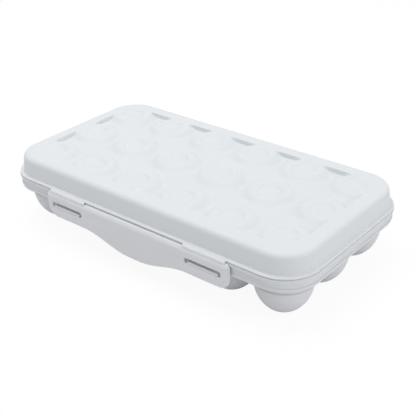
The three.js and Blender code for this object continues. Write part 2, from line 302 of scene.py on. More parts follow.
def about(origin: Point, points: Profile) -> list[Point]:
    """Points of a section, given in millimetres about an origin in metres."""
    return [(origin[0] + across * MM, origin[1] + up * MM) for across, up in points]


def slope(start: Point, end: Point, steps: int) -> list[Point]:
    """Points of an S-shaped slope between two levels.

    Args:
        start: Radius and height where the slope starts.
        end: Radius and height where it ends.
        steps: How many straight stretches it has.

    Returns:
        Its points, both ends included.
    """
    shares = [i / steps for i in range(steps + 1)]
    run, rise = end[0] - start[0], end[1] - start[1]
    return [
        (start[0] + run * share, start[1] + rise * (1 - math.cos(math.pi * share)) / 2)
        for share in shares
    ]


def arc(centre: Point, radius: float, start: float, end: float, steps: int) -> list[Point]:
    """Points of a circular arc in some straight steps, both ends included, by angles in degrees."""
    angles = [math.radians(start + (end - start) * i / steps) for i in range(steps + 1)]
    return [(centre[0] + radius * math.cos(a), centre[1] + radius * math.sin(a)) for a in angles]


@dataclass(frozen=True)
class RoundedOutline:
    """A rectangle with round corners, seen from above, with a number of steps in each corner."""

    length: float
    width: float
    corner: float
    centre_y: float
    steps: int = 14

    def sweep(self, section: Sequence[Point]) -> Object:
        """Carry a section round the outline, extruded along its sides and spun at its corners.

        Args:
            section: Distance in from the outline and height of each point.

        Returns:
            The swept ring.
        """
        x = self.length / 2 - self.corner
        y = self.width / 2 - self.corner
        edge = self.length / 2
        points = [Vector((edge - inset, self.centre_y - y, z)) for inset, z in section]
        ring = draw_chain(points)
        middle = Vector((0, self.centre_y, 0))
        with editing(ring):
            for across, along in ((x, y), (-x, y), (-x, -y), (x, -y)):
                pivot = middle + Vector((across, along, 0))
                side = (0, 2 * along, 0) if across * along > 0 else (2 * across, 0, 0)
                bpy.ops.mesh.extrude_region_move(TRANSFORM_OT_translate={"value": side})
                bpy.ops.mesh.spin(
                    steps=self.steps, angle=-math.pi / 2, center=pivot, axis=(0, 0, 1)
                )
            merge_and_orient()
        return ring


def spin_round(section: Sequence[Point]) -> Object:
    """Spin a section a full turn about the Z axis.

    Args:
        section: Radius and height of each point.

    Returns:
        The turned piece.
    """
    obj = draw_chain([Vector((radius, 0, z)) for radius, z in section])
    with editing(obj):
        bpy.ops.mesh.spin(steps=FACETS, angle=2 * math.pi, center=(0, 0, 0), axis=(0, 0, 1))
        merge_and_orient()
    return obj


def prism(section: Sequence[Point], low: float, high: float) -> Object:
    """Draw a closed section in Y and Z and extrude it along X.

    Args:
        section: Place in Y and Z of each point, once round.
        low: Lower end along X.
        high: Higher end along X.

    Returns:
        The prism.
    """
    points = [Vector((low, y, z)) for y, z in section]
    obj = draw_chain([*points, points[0].copy()])
    with editing(obj):
        bpy.ops.mesh.remove_doubles(threshold=ON_PLANE)
        bpy.ops.mesh.edge_face_add()
        bpy.ops.mesh.extrude_region_move(TRANSFORM_OT_translate={"value": (high - low, 0, 0)})
        merge_and_orient()
    return obj


def rounded_block(low: Place, high: Place, edge: float) -> Object:
    """Add a block with rounded edges.

    Args:
        low: Its lowest corner.
        high: Its highest corner.
        edge: Radius of its edges.

    Returns:
        The block.
    """
    block = add_shape(bpy.ops.mesh.primitive_cube_add, size=1)
    size = [h - l for l, h in zip(low, high)]
    middle = [(h + l) / 2 for l, h in zip(low, high)]
    with editing(block):
        bpy.ops.transform.resize(value=size)
        bpy.ops.transform.translate(value=middle)
        bpy.ops.mesh.bevel(offset=edge, segments=3, affect="EDGES")
    return block


# Finishes


class NodeBench:
    """Short ways to add and link the nodes of a material or a group."""

    def __init__(self, tree: NodeTree) -> None:
        """Work on one node tree."""
        self.tree = tree

    def feed(self, target: NodeSocket, value: object) -> None:
        """Link another socket to an input, or set the input's own value.

        Args:
            target: The input.
            value: The other socket, or a number or colour.
        """
        if isinstance(value, NodeSocket):
            self.tree.links.new(value, target)
        else:
            target.default_value = value

    def set(self, node: Node, **values: object) -> Node:
        """Set a node's properties and feed its inputs.

        Args:
            node: The node.
            values: A value by name; an input's name has an underscore for each space.

        Returns:
            The same node.
        """
        for key, value in values.items():
            if hasattr(node, key):
                setattr(node, key, value)
            else:
                self.feed(node.inputs[key.replace("_", " ")], value)
        return node

    def add(self, kind: str, **values: object) -> Node:
        """Add a node of a kind, named without its ShaderNode prefix, and set its values."""
        return self.set(self.tree.nodes.new(f"ShaderNode{kind}"), **values)

    def math(self, operation: str, *values: object) -> NodeSocket:
        """Add a sum.

        Args:
            operation: The Math node's operation.
            values: A socket or a number for each of its inputs.

        Returns:
            The socket that carries the result.
        """
        node = self.add("Math", operation=operation)
        for target, value in zip(node.inputs, values):
            self.feed(target, value)
        return node.outputs[0]

    def seen_rays(self) -> NodeSocket:
        """Find the rays that show a background: the camera's, glossy and transmitted ones.

        Returns:
            The socket of a mask that is 1 for such a ray and 0 for any other.
        """
        path = self.add("LightPath").outputs
        straight = self.math("MAXIMUM", path["Is Camera Ray"], path["Is Glossy Ray"])
        return self.math("MAXIMUM", straight, path["Is Transmission Ray"])


def new_group(
    name: str, inputs: dict[str, float], outputs: Sequence[str]
) -> tuple[NodeBench, dict[str, NodeSocket], Node]:
    """Start a shader node group whose inputs and outputs are numbers.

    Args:
        name: The group's name.
        inputs: Default value of each input, by name.
        outputs: Name of each output.

    Returns:
        The bench, the sockets that carry the inputs, and the node that takes the outputs.
    """
    group = bpy.data.node_groups.new(name, "ShaderNodeTree")
    for label, value in inputs.items():
        socket = group.interface.new_socket(label, in_out="INPUT", socket_type="NodeSocketFloat")
        socket.default_value = value
    for label in outputs:
        group.interface.new_socket(label, in_out="OUTPUT", socket_type="NodeSocketFloat")
    given = group.nodes.new("NodeGroupInput")
    carried = {label: given.outputs[label] for label in inputs}
    return NodeBench(group), carried, group.nodes.new("NodeGroupOutput")


def mould_grain_group() -> NodeTree:
    """Fine grain and faint flow marks of a moulded surface.

    Returns:
        A group that puts out a height, a mottle mask and a roughness.
    """
    pit_share = 0.35
    middle = 0.5
    bench, given, made = new_group(
        "mould_grain",
        {"Grain Scale": 2600, "Mottle Scale": 60, "Roughness": 0.5, "Roughness Spread": 0.1},
        ("Height", "Mottle", "Roughness"),
    )
    place = bench.add("TexCoord").outputs["Object"]
    fine, broad = given["Grain Scale"], given["Mottle Scale"]
    grain = bench.add("TexNoise", Vector=place, Scale=fine, Detail=3, Roughness=0.6)
    pits = bench.add("TexVoronoi", Vector=place, Scale=fine)
    flow = bench.add("TexNoise", Vector=place, Scale=broad, Detail=4, Roughness=0.55)
    mottle = flow.outputs["Fac"]
    uneven = bench.math("SUBTRACT", mottle, middle)
    bench.set(
        made,
        Height=bench.math(
            "MULTIPLY_ADD", pits.outputs["Distance"], pit_share, grain.outputs["Fac"]
        ),
        Mottle=mottle,
        Roughness=bench.math("MULTIPLY_ADD", uneven, given["Roughness Spread"], given["Roughness"]),
    )
    return bench.tree


def edge_wear_group() -> NodeTree:
    """Mask of the rubbed edges, broken up by noise.

    Returns:
        A group that puts out the mask.
    """
    bench, given, made = new_group("edge_wear", {"Amount": 0.5, "Break Up Scale": 180}, ("Mask",))
    bend = bench.add("NewGeometry").outputs["Pointiness"]
    ridge = bench.add("MapRange", clamp=True, Value=bend, From_Min=0.53, From_Max=0.62)
    place = bench.add("TexCoord").outputs["Object"]
    noise = bench.add("TexNoise", Vector=place, Scale=given["Break Up Scale"], Detail=3)
    patchy = bench.math("MULTIPLY", ridge.outputs["Result"], noise.outputs["Fac"])
    mask = bench.math("MULTIPLY", patchy, given["Amount"])
    mask.node.use_clamp = True
    bench.set(made, Mask=mask)
    return bench.tree


@dataclass(frozen=True)
class PlasticFinish:
    """A pale moulded plastic, with its linear colours and the strength of its fine grain.

    Its shade is the colour of faint flow marks, and worn is the colour of rubbed edges.
    """

    slot: str
    colour: Colour
    shade: Colour
    worn: Colour
    roughness: float
    grain: float
    grain_scale: float
    grain_depth: float = 0.05 * MM
    refraction: float = 1.49
    shine: float = 0.22

    def build(self, grain: NodeTree, wear: NodeTree) -> None:
        """Build the material.

        Args:
            grain: The shared grain group.
            wear: The shared edge wear group.
        """
        material = bpy.data.materials.new(f"{self.slot}_look")
        material.use_nodes = True
        bench = NodeBench(material.node_tree)
        mould = bench.add(
            "Group", node_tree=grain, Grain_Scale=self.grain_scale, Roughness=self.roughness
        ).outputs
        rubbing = bench.add("Group", node_tree=wear).outputs["Mask"]
        shade, colour, worn = ((*rgb, 1) for rgb in (self.shade, self.colour, self.worn))
        flow = bench.add("Mix", data_type="RGBA", Factor=mould["Mottle"], A=shade, B=colour)
        rubbed = bench.add(
            "Mix", data_type="RGBA", Factor=rubbing, A=flow.outputs["Result"], B=worn
        )
        bump = bench.add(
            "Bump", Strength=self.grain, Distance=self.grain_depth, Height=mould["Height"]
        )
        bench.set(
            material.node_tree.nodes["Principled BSDF"],
            Base_Color=rubbed.outputs["Result"], Roughness=mould["Roughness"],
            Normal=bump.outputs["Normal"], IOR=self.refraction, Specular_IOR_Level=self.shine,
        )

    def dress(self, obj: Object, crease: float = CREASE_DEGREES) -> None:
        """Shade a piece smooth and give it this finish.

        Args:
            obj: The piece.
            crease: The smallest angle between faces that stays a crease, in degrees.
        """
        activate(obj)
        bpy.ops.object.shade_smooth_by_angle(angle=math.radians(crease))
        obj.data.materials.clear()
        obj.data.materials.append(bpy.data.materials[f"{self.slot}_look"])


LID_FINISH = PlasticFinish(
    slot="lid_plastic",
    colour=(0.722, 0.752, 0.777),
    shade=(0.704, 0.733, 0.758),
    worn=(0.8, 0.82, 0.84),
    roughness=0.46,
    grain=0.16,
    grain_scale=2600,
)
BASE_FINISH = PlasticFinish(
    slot="base_plastic",
    colour=(0.718, 0.732, 0.76),
    shade=(0.698, 0.713, 0.742),
    worn=(0.82, 0.835, 0.86),
    roughness=0.52,
    grain=0.22,
    grain_scale=2200,
)
# The flap and its film hinges are the lid's own plastic, moulded in one piece with it. Their colour
# is painted lighter than the lid's, as painted light that stands in for more light falling on the
# flap.
FLAP_PAINTED_LIGHTER_FINISH = PlasticFinish(
    slot="flap_plastic",
    colour=(0.752, 0.766, 0.795),
    shade=(0.735, 0.749, 0.778),
    worn=(0.85, 0.86, 0.88),
    roughness=0.44,
    grain=0.14,
    grain_scale=2800,
)


# Sub-assemblies


def hand_over(obj: Object, finish: PlasticFinish, body: Body, *nodes: str) -> None:
    """Name and dress a piece, let it ride on its body and stand for its nodes, and report it.

    Args:
        obj: The piece, in place.
        finish: What it is made of.
        body: The body that it moves with.
        nodes: The frame's nodes that it stands for; the first one gives the piece its name.
    """
    if nodes:
        obj.name = f"{nodes[0]}_look"
        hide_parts(*nodes)
    finish.dress(obj)
    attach(obj, body.value)
    LOG.info("%s: %d faces on %s", obj.name, len(obj.data.polygons), body.value)


@dataclass(frozen=True)
class EggGrid:
    """Places of the eighteen cells, and the outlines that go round them."""

    columns: int = 6
    rows: int = 3
    pitch_long: float = 50 * MM
    pitch_cross: float = 50.5 * MM
    end_margin: float = 7.5 * MM
    side_margin: float = 8.75 * MM
    deck_corner: float = 23.75 * MM
    centre_y: float = -2.225 * MM

    def cells(self) -> Iterator[tuple[str, float, float]]:
        """Each cell's name and the place of its middle.

        Yields:
            The end of the node's name, then x and y.
        """
        for row in range(self.rows):
            for column in range(self.columns):
                x = (column - (self.columns - 1) / 2) * self.pitch_long
                y = (row - (self.rows - 1) / 2) * self.pitch_cross + self.centre_y
                yield f"{'abc'[row]}{column + 1}", x, y

    def outermost(self) -> Point:
        """Distance from the middle of the box to its outer cells, along X and Y."""
        return (self.columns - 1) / 2 * self.pitch_long, (self.rows - 1) / 2 * self.pitch_cross

    def deck_outline(self) -> RoundedOutline:
        """Outline of the deck that carries the cups."""
        length, width = self.columns * self.pitch_long, self.rows * self.pitch_cross
        return RoundedOutline(length, width, self.deck_corner, self.centre_y)

    def rim_outline(self) -> RoundedOutline:
        """Outline of the base's rim and of the lid.

        Returns:
            The deck's outline, made larger by the margins.
        """
        deck, end, side = self.deck_outline(), self.end_margin, self.side_margin
        return RoundedOutline(
            deck.length + 2 * end, deck.width + 2 * side, deck.corner + side, self.centre_y
        )


@dataclass
class LidShell:
    """The lid: flange, drafted wall, flat border and the relief of eighteen round pads."""

    grid: EggGrid
    foot: float = 46.95 * MM
    top: float = 65 * MM
    mouth_inset: float = 4.9 * MM
    shoulder: float = 48.2 * MM
    shoulder_inset: float = 3.3 * MM
    shoulder_points: Profile = ((-0.8, 0.05), (-0.3, 0.18), (0, 0.5), (0.13, 1.1))
    lip_setback: float = 0.3 * MM
    lip_edge: float = 0.25 * MM
    lip_round: float = 0.5 * MM
    draft_run: float = 2.2 * MM
    fillet: float = 5 * MM
    wall: float = 1.6 * MM
    relief: float = 3.5 * MM
    reach: Point = (13 * MM, 13.2 * MM)
    reach_run: float = 1 * MM
    pad_crest: float = 14.8 * MM
    pad_foot: float = 24 * MM
    floor_shares: Point = (1.05, 1.5)
    dimple_floor: float = 8.2 * MM
    dimple_edge: float = 11.6 * MM
    dimple_depth: float = 1.3 * MM
    slope_shift_share: float = 0.6
    hold: float = 0.4 * MM
    edge_reach: float = 0.05 * MM

    def wall_section(self, wall: float) -> list[Point]:
        """Section of the drafted wall and its top round, from the shoulder up to the border.

        Args:
            wall: Distance in from the outer face.

        Returns:
            Inset and height of each point.
        """
        rise = self.top - self.shoulder
        draft = math.degrees(math.atan(self.draft_run / rise))
        tangent = self.fillet * math.tan(math.radians(90 - draft) / 2)
        centre = (self.shoulder_inset + self.draft_run + tangent, self.top - self.fillet)
        bend = arc(centre, self.fillet - wall, 180 - draft, 90, 8)
        return [*bend, (bend[-1][0] + self.hold, bend[-1][1])]

    def ring_section(self) -> list[Point]:
        """Section of the whole ring, from the inner border down, round the flange and up outside.

        Returns:
            Inset and height of each point.
        """
        edge, bend, back = self.lip_edge, self.lip_round, self.lip_setback
        return [
            *self.wall_section(self.wall)[::-1],
            (self.mouth_inset, self.shoulder + 2 * edge),
            (self.mouth_inset, self.foot + edge),
            (self.mouth_inset - edge, self.foot),
            *arc((back + edge, self.foot + edge), edge, 270, 180, 2),
            *arc((back + bend, self.foot + edge + bend), bend, 180, 100, 4),
            *about((self.shoulder_inset, self.shoulder), self.shoulder_points),
            *self.wall_section(0),
        ]

    def relief_sheet(self, wall: float) -> Object:
        """One face of the embossed sheet inside the border.

        A pad is spun with the floor round it, cut square and repeated over the grid. The sheet is
        then cut straight along the border, and its edge is drawn up to the border's level.

        Args:
            wall: Distance below the outer face.

        Returns:
            The sheet, with a narrow flat edge at the border's level.
        """
        crown = self.top - wall
        floor = crown - self.relief
        pan = crown - self.dimple_depth
        shift = self.slope_shift_share * wall
        sheet = spin_round([
            (0, pan),
            (self.dimple_floor / 2, pan),
            *slope((self.dimple_floor + shift, pan), (self.dimple_edge + shift, crown), 5),
            *slope((self.pad_crest - shift, crown), (self.pad_foot - shift, floor), 10),
            *((share * self.pad_foot, floor) for share in self.floor_shares),
        ])
        grid = self.grid
        last_x, last_y = grid.outermost()
        with editing(sheet):
            trim_to_rectangle(grid.pitch_long / 2, grid.pitch_cross / 2, 0)
            bpy.ops.mesh.select_all(action="SELECT")
            bpy.ops.transform.translate(value=(-last_x, grid.centre_y - last_y, 0))
        steps = ((grid.columns, (grid.pitch_long, 0, 0)), (grid.rows, (0, grid.pitch_cross, 0)))
        for count, step in steps:
            apply_modifier(
                sheet, "ARRAY", count=count, use_relative_offset=False, use_constant_offset=True,
                constant_offset_displace=step, use_merge_vertices=True, merge_threshold=NEAR,
            )
        self.draw_up_border(sheet, wall)
        return sheet

    def draw_up_border(self, sheet: Object, wall: float) -> None:
        """Cut the relief sheet along the border and draw its edge up to the border's level.

        Args:
            sheet: The sheet of pads.
            wall: Distance below the outer face.
        """
        centre = self.grid.centre_y
        last_x, last_y = self.grid.outermost()
        x = last_x + self.reach[0] + wall
        y = last_y + self.reach[1] + wall
        corner = min(self.reach[1] + wall, self.pad_crest - self.edge_reach)

        def beyond_corner_pad(vertex: BMVert) -> bool:
            """Whether a vertex is outside the round top of a corner pad, towards the corner.

            Args:
                vertex: A vertex of the sheet.

            Returns:
                Whether it is.
            """
            dx = abs(vertex.co.x) - last_x
            dy = abs(vertex.co.y - centre) - last_y
            return dx > 0 and dy > 0 and math.hypot(dx, dy) > corner

        def flatten() -> None:
            """Bring the selected vertices to the border's level."""
            level = (0, centre, self.top - wall)
            bpy.ops.transform.resize(value=(1, 1, 0), center_override=level)

        def push_out(run: float) -> None:
            """Draw the sheet's edge out along X and Y, at the border's level.

            Args:
                run: How far.
            """
            Select.EDGE.where(lambda e: e.is_boundary)
            bpy.ops.mesh.extrude_region_move(TRANSFORM_OT_translate={"value": (0, 0, 0)})
            flatten()
            drawn = [v for v in bmesh.from_edit_mesh(sheet.data).verts if v.select]
            for axis, middle in enumerate((0, centre)):
                outer = max(v.co[axis] - middle for v in drawn) - self.edge_reach
                for vertex in drawn:
                    across = vertex.co[axis] - middle
                    if abs(across) > outer:
                        vertex.co[axis] += math.copysign(run, across)
            bmesh.update_edit_mesh(sheet.data)

        with editing(sheet):
            trim_to_rectangle(x, y, centre)
            Select.VERT.where(beyond_corner_pad)
            flatten()
            push_out(self.reach_run)
            push_out(self.hold)

    def build(self) -> None:
        """Model the lid in one piece."""
        ring = self.grid.rim_outline().sweep(self.ring_section())
        sheets = self.relief_sheet(0), self.relief_sheet(self.wall)
        lid = close_between((self.top, self.top - self.wall), ring, *sheets)
        pads = [f"lid_pad_{label}" for label, _, _ in self.grid.cells()]
        hand_over(lid, LID_FINISH, Body.LID, "lid_shell", *pads)


@dataclass
class BaseTray:
    """The base: its rim with band and bead, the deck, the cups and the two catches."""

    grid: EggGrid
    rim_top: float = 46.5 * MM
    rim_flat: float = 1.4 * MM
    rim_round: float = 1 * MM
    flange_foot: float = 44.4 * MM
    flange_round: float = 0.35 * MM
    flange_points: Profile = ((0.85, -0.15), (1.05, -0.6))
    ridge: float = 41.4 * MM
    ridge_points: Profile = ((1.3, 0.45), (1.08, 0.15), (1.06, -0.15), (1.42, -0.5))
    band_foot: float = 38.5 * MM
    band_points: Profile = ((1.65, 0.4), (1.5, 0.1), (0.85, -0.25), (0.72, -0.55), (0.8, -1.1))
    skirt_foot: float = 35.6 * MM
    skirt_points: Profile = ((1.1, 0.5), (1.3, 0.1), (1.6, 0), (2.8, 0), (3, 0.3))
    plate: float = 1.8 * MM
    plate_points: Profile = ((3, -0.6), (3.6, 0))
    shelf_inset: float = 6 * MM
    collar_overlap: float = 1.3 * MM
    collar_round: float = 0.7 * MM
    collar_hold: float = 0.3 * MM
    deck_top: float = 44.5 * MM
    deck_thickness: float = 1.6 * MM
    hole_inset: float = 0.1 * MM
    hole_depth: float = 10 * MM
    cup_mouth: float = 24.4 * MM
    cup_belly: float = 24 * MM
    cup_depth: float = 30 * MM
    cup_foot: float = 5 * MM
    cup_foot_share: float = 0.8
    cup_wall: float = 1.5 * MM
    cup_bead: float = 27.7 * MM
    bead_room: float = 1.3 * MM
    bead_points: Profile = ((-0.12, -0.9), (0.5, -0.5), (0.75, -0.1), (0.5, 0.4), (0.02, 0.8))
    lip_drop: float = 0.4 * MM
    lip_round: float = 0.5 * MM
    lip_sink: float = 0.15 * MM
    throat_round: float = 0.8 * MM
    throat_place: Point = (0.7 * MM, 0.45 * MM)
    catch_trim: float = 1.4 * MM
    catch_front: float = -89.7 * MM
    catch_drops: Point = (0.2 * MM, 1.2 * MM)
    catch_edge: float = 0.4 * MM

    def rim_section(self) -> list[Point]:
        """Section of the rim, from its flat top out, down the skirt and back up inside.

        Returns:
            Inset and height of each point.
        """
        under = self.rim_top - self.plate
        bend, curl = self.rim_round, self.flange_round
        return [
            (self.shelf_inset, self.rim_top),
            (self.rim_flat, self.rim_top),
            *arc((bend, self.rim_top - bend), bend, 90, 180, 6),
            *arc((curl, self.flange_foot + curl), curl, 180, 260, 3),
            *about((0, self.flange_foot), self.flange_points),
            *about((0, self.ridge), self.ridge_points),
            *about((0, self.band_foot), self.band_points),
            *about((0, self.skirt_foot), self.skirt_points),
            *about((0, under), self.plate_points),
            (self.shelf_inset, under),
        ]

    def collar_section(self) -> list[Point]:
        """Section of the collar that drops from the rim to the deck.

        Returns:
            Inset from the deck's outline and height of each point.
        """
        foot = self.deck_top - self.deck_thickness
        under = self.rim_top - self.plate
        bend = self.collar_round
        return [
            (-self.collar_overlap, self.rim_top),
            *arc((-bend, self.rim_top - bend), bend, 90, 0, 4),
            (0, foot),
            (-self.plate, foot),
            (-self.plate, under),
            (-self.plate - self.collar_hold, under),
        ]

    def build_rim(self) -> None:
        """Model the rim and its collar as one ring."""
        ring = self.grid.rim_outline().sweep(self.rim_section())
        collar = self.grid.deck_outline().sweep(self.collar_section())
        rim = close_between((self.rim_top, self.rim_top - self.plate), ring, collar)
        hand_over(rim, BASE_FINISH, Body.BASE, "base_rim")

    def build_deck(self) -> None:
        """Model the deck between the cups' mouths."""
        levels = (self.deck_top - self.deck_thickness, self.deck_top)
        deck = self.grid.deck_outline().sweep([(NEAR, level) for level in levels])
        deck.name = "deck"
        with editing(deck):
            for level in levels:
                Select.EDGE.where(lambda e: all(abs(v.co.z - level) < NEAR for v in e.verts))
                bpy.ops.mesh.edge_face_add()
            merge_and_orient()
        holes = [
            add_shape(
                bpy.ops.mesh.primitive_cylinder_add, (x, y, self.deck_top),
                vertices=FACETS, radius=self.cup_mouth - self.hole_inset, depth=self.hole_depth,
            )
            for _, x, y in self.grid.cells()
        ]
        Combine.CUT.apply(deck, join_pieces(*holes))
        hand_over(deck, BASE_FINISH, Body.BASE)

    def bowl(self, wall: float, steps: int) -> list[Point]:
        """Half ellipse of a cup's bowl, from the edge of its foot up to its belly.

        Args:
            wall: Distance in from the outer face.
            steps: How many straight stretches it has.

        Returns:
            Radius and height of each point.
        """
        lowest = math.acos(self.cup_foot / self.cup_belly)
        centre = self.cup_depth * math.sin(lowest)
        angles = [lowest * (1 - i / steps) for i in range(steps + 1)]
        reach, drop = self.cup_belly - wall, self.cup_depth - wall
        return [(reach * math.cos(a), centre - drop * math.sin(a)) for a in angles]

    def cup_section(self) -> list[Point]:
        """Section of a cup's wall, from the middle of its foot up outside and down inside.

        Returns:
            Radius and height of each point.
        """
        bead, mouth, top = self.cup_bead, self.cup_mouth, self.deck_top
        across, down = self.throat_place
        inside = self.bowl(self.cup_wall, 22)[::-1]
        return [
            (0, 0),
            (self.cup_foot_share * self.cup_foot, 0),
            *(point for point in self.bowl(0, 30) if point[1] < bead - self.bead_room),
            *about((self.cup_belly, bead), self.bead_points),
            (mouth, top - self.lip_drop),
            *arc((mouth - self.lip_round, top - self.lip_sink), self.lip_round, 0, 90, 3),
            *arc((mouth - across, top - down), self.throat_round, 90, 180, 4),
            *inside,
            (0, inside[-1][1]),
        ]

    def build_cups(self) -> None:
        """Model one cup and copy it to every cell."""
        model = spin_round(self.cup_section())
        for label, x, y in self.grid.cells():
            cup = model.copy()
            cup.data = model.data.copy()
            bpy.context.scene.collection.objects.link(cup)
            with editing(cup):
                bpy.ops.transform.translate(value=(x, y, 0))
            hand_over(cup, BASE_FINISH, Body.BASE, f"egg_cup_{label}")
        bpy.data.objects.remove(model)

    def build_catches(self) -> None:
        """Model the catch bars behind the slots of the flap."""
        for side in Side:
            node = f"catch_{side.label}"
            (left, _, foot), (right, back, top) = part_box(node)
            low = (left + self.catch_trim, self.catch_front, foot - self.catch_drops[0])
            high = (right - self.catch_trim, back, top - self.catch_drops[1])
            catch = rounded_block(low, high, self.catch_edge)
            hand_over(catch, BASE_FINISH, Body.BASE, node)

    def build(self) -> None:
        """Model the rim, the deck, the cups and the catches."""
        self.build_rim()
        self.build_deck()
        self.build_cups()
        self.build_catches()


@dataclass
class BackHinge:
    """The hinge at the back: sockets with two ears on the base, lugs with stub pins on the lid."""

    axis_y: float = 86.275 * MM
    axis_z: float = 46.5 * MM
    rim_back: float = 82.275 * MM
    spread: float = 170 * MM
    bar_facets: int = 48
    bar_edge_share: float = 0.12
    lug_half: float = 10 * MM
    lug_radius: float = 2.5 * MM
    arm_trim: float = 0.05 * MM
    arm_levels: Point = (0.35 * MM, 2.45 * MM)
    arm_edge: float = 0.25 * MM
    stub_radius: float = 1.2 * MM
    stub_reach: float = 2.6 * MM
    ear_gap: float = 0.3 * MM
    ear: float = 3 * MM
    ear_radius: float = 2.7 * MM
    ear_trim: float = 0.06 * MM
    ear_root: float = 0.4 * MM
    ear_drop: float = 0.56 * MM
    ear_edge: float = 0.2 * MM
    bore_gap: float = 0.4 * MM
    bore_overrun: float = 1 * MM
    plate: float = 1.1 * MM
    plate_depth: float = 7 * MM
    plate_drop: float = 0.5 * MM
    plate_edge: float = 0.3 * MM

    def ear_block(self, low: float, high: float) -> Object:
        """Model one ear of a socket: an arm that ends in a round eye.

        Args:
            low: Lower end of the ear along X.
            high: Higher end of the ear along X.

        Returns:
            The ear, without its bore.
        """
        root = self.rim_back + self.ear_root
        meet = 180 + math.degrees(math.asin(self.ear_drop / self.ear_radius))
        ear = prism([
            (root, self.axis_z - self.ear_radius),
            *arc((self.axis_y, self.axis_z), self.ear_radius, -90, meet, 40),
            (root, self.axis_z - self.ear_drop),
        ], low, high)
        with editing(ear):
            bevel_ends(self.ear_edge)
        return ear

    def bar(self, radius: float, middle: float, half: float) -> Object:
        """Add a round bar on the hinge's axis.

        Args:
            radius: Its radius.
            middle: Place of its middle along X.
            half: Half of its length.

        Returns:
            The bar.
        """
        bar = add_shape(
            bpy.ops.mesh.primitive_cylinder_add,
            vertices=self.bar_facets, radius=radius, depth=2 * half, rotation=(0, math.pi / 2, 0),
        )
        bpy.ops.object.transform_apply(location=False, rotation=True, scale=False)
        with editing(bar):
            bpy.ops.transform.translate(value=(middle, self.axis_y, self.axis_z))
            bevel_ends(self.bar_edge_share * radius)
        return bar

    def build_socket(self, side: Side) -> None:
        """Model the socket on the base.

        Args:
            side: Which half of the box it is on.
        """
        middle = side.value * self.spread / 2
        inner = self.lug_half + self.ear_gap
        outer = inner + self.ear
        socket = rounded_block(
            (middle - outer, self.rim_back, self.axis_z - self.plate_depth),
            (middle + outer, self.rim_back + self.plate, self.axis_z - self.plate_drop),
            self.plate_edge,
        )
        for sign in (-1, 1):
            ends = sorted((middle + sign * inner, middle + sign * (outer - self.ear_trim)))
            Combine.WELD.apply(socket, self.ear_block(*ends))
        bore = self.stub_radius + self.bore_gap
        Combine.CUT.apply(socket, self.bar(bore, middle, outer + self.bore_overrun))
        with editing(socket):
            merge_and_orient()
        hand_over(socket, BASE_FINISH, Body.BASE, f"hinge_socket_{side.label}")

    def build_lug(self, side: Side) -> None:
        """Model the lug on the lid.

        Args:
            side: Which half of the box it is on.
        """
        middle = side.value * self.spread / 2
        lug = self.bar(self.lug_radius, middle, self.lug_half)
        stub = self.bar(self.stub_radius, middle, self.lug_half + self.stub_reach)
        Combine.WELD.apply(lug, stub)
        half = self.lug_half - self.arm_trim
        foot, top = (self.axis_z + level for level in self.arm_levels)
        low, high = (middle - half, self.rim_back, foot), (middle + half, self.axis_y, top)
        Combine.WELD.apply(lug, rounded_block(low, high, self.arm_edge))
        hand_over(lug, LID_FINISH, Body.LID, f"lid_hinge_lug_{side.label}")

    def build(self) -> None:
        """Model both sockets and both lugs."""
        for side in Side:
            self.build_socket(side)
            self.build_lug(side)


